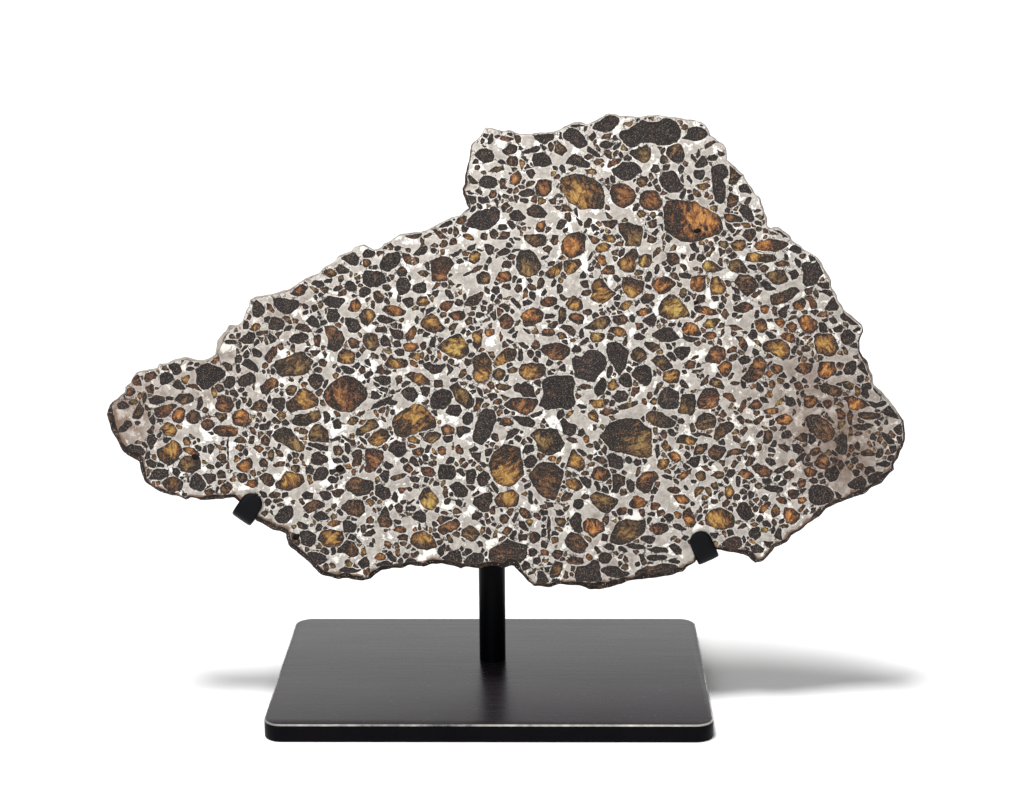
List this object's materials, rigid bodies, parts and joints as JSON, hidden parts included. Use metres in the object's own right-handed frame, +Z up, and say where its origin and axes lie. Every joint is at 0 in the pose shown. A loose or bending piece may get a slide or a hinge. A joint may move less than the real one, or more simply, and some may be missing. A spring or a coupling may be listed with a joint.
{
  "type": "pallasite meteorite slice on a stand",
  "caption": "Thin cut slice of a stony-iron meteorite, olive to amber crystals in bright metal, leaning in two hooks on a black post and plate.",
  "frame": {"origin": "centre of the base plate's underside", "axes": "+Z up; -Y the way the slice's show face looks; +X to the right of someone who looks at that face"},
  "size_m": [0.2769, 0.1016, 0.2035],
  "materials": {
    "meteorite": "cut and polished nickel-iron with olivine crystals, dark rough crust on the rim",
    "black_steel": "satin black"
  },
  "bodies": {
    "root": {"pallasite_slice": "meteorite", "base_plate": "black_steel", "post": "black_steel", "left_arm": "black_steel", "right_arm": "black_steel"}
  },
  "joints": []
}
